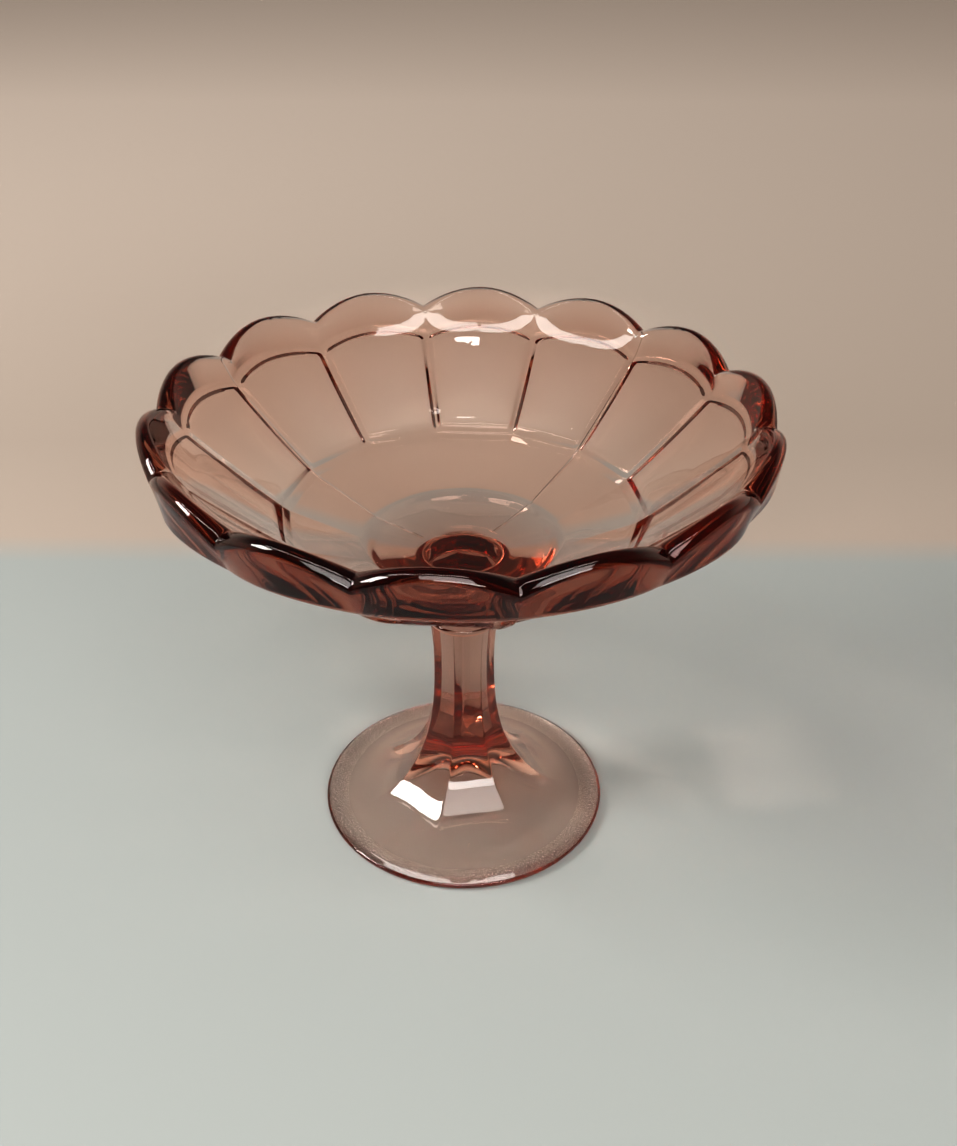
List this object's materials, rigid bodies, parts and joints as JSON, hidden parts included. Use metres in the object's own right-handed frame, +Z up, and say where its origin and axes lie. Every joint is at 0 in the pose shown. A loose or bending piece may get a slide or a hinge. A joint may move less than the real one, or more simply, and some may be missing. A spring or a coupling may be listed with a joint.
{
  "type": "footed glass bowl",
  "caption": "Footed bowl of clear pink pressed glass: a shallow petal-rimmed bowl with fluted outer panels, welded by a wafer to a faceted stem on a round, hollowed foot.",
  "frame": {"origin": "on the axis, in the plane of the foot's rest ring, at the bottom centre of the bounding box", "axes": "+Z up along the axis; a notch of the rim and a flat of the stem face -Y"},
  "size_m": [0.21, 0.2078, 0.17],
  "materials": {
    "pink_glass": "clear pink-brown pressed glass, fire-polished, with a worn rest ring"
  },
  "bodies": {
    "root": {"bowl": "pink_glass", "joining_wafer": "pink_glass", "pedestal": "pink_glass"}
  },
  "joints": []
}
